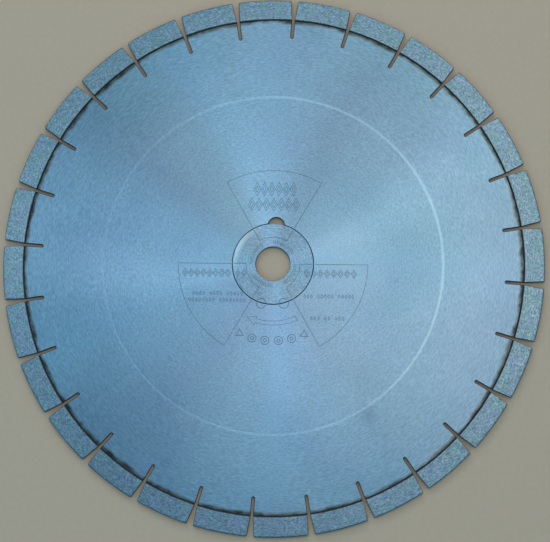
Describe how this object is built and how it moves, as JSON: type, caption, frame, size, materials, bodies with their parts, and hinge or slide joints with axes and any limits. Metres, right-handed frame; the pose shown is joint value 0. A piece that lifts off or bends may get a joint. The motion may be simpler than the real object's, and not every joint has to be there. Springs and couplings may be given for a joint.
{
  "type": "diamond saw blade",
  "caption": "Flat slotted steel saw disc with sintered diamond segments brazed round its rim and a removable ring that reduces its centre hole to the arbor bore.",
  "frame": {"origin": "centre of the arbor bore, on the mid-plane of the blade's thickness", "axes": "+Z along the blade's axis, out of the marked face, with the blade lying flat; +Y towards the drive-pin hole (4 degrees from its middle) and the top of the etched layout; +X to the right of that layout"},
  "size_m": [0.4, 0.4, 0.0036],
  "materials": {
    "core_steel": "tangentially ground and lightly oiled, with fine short grinding lines round the axis",
    "ring_steel": "turned, with fine concentric lines",
    "diamond_bond": "coarse, freshly ground sintered metal with diamond grit",
    "braze": "dark heat-stained filler, unground"
  },
  "bodies": {
    "blade": {"core": "core_steel", "segment_01": "diamond_bond", "segment_02": "diamond_bond", "segment_03": "diamond_bond", "segment_04": "diamond_bond", "segment_05": "diamond_bond", "segment_06": "diamond_bond", "segment_07": "diamond_bond", "segment_08": "diamond_bond", "segment_09": "diamond_bond", "segment_10": "diamond_bond", "segment_11": "diamond_bond", "segment_12": "diamond_bond", "segment_13": "diamond_bond", "segment_14": "diamond_bond", "segment_15": "diamond_bond", "segment_16": "diamond_bond", "segment_17": "diamond_bond", "segment_18": "diamond_bond", "segment_19": "diamond_bond", "segment_20": "diamond_bond", "segment_21": "diamond_bond", "segment_22": "diamond_bond", "segment_23": "diamond_bond", "segment_24": "diamond_bond", "segment_25": "diamond_bond", "segment_26": "diamond_bond", "segment_27": "diamond_bond", "segment_28": "diamond_bond", "braze_seam_01": "braze", "braze_seam_02": "braze", "braze_seam_03": "braze", "braze_seam_04": "braze", "braze_seam_05": "braze", "braze_seam_06": "braze", "braze_seam_07": "braze", "braze_seam_08": "braze", "braze_seam_09": "braze", "braze_seam_10": "braze", "braze_seam_11": "braze", "braze_seam_12": "braze", "braze_seam_13": "braze", "braze_seam_14": "braze", "braze_seam_15": "braze", "braze_seam_16": "braze", "braze_seam_17": "braze", "braze_seam_18": "braze", "braze_seam_19": "braze", "braze_seam_20": "braze", "braze_seam_21": "braze", "braze_seam_22": "braze", "braze_seam_23": "braze", "braze_seam_24": "braze", "braze_seam_25": "braze", "braze_seam_26": "braze", "braze_seam_27": "braze", "braze_seam_28": "braze"},
    "ring": {"reducing_ring": "ring_steel"}
  },
  "joints": [
    {"name": "ring_slide", "type": "slide", "parent": "blade", "child": "ring", "axis": [0, 0, 1], "range_m": [0, 0.015]}
  ]
}
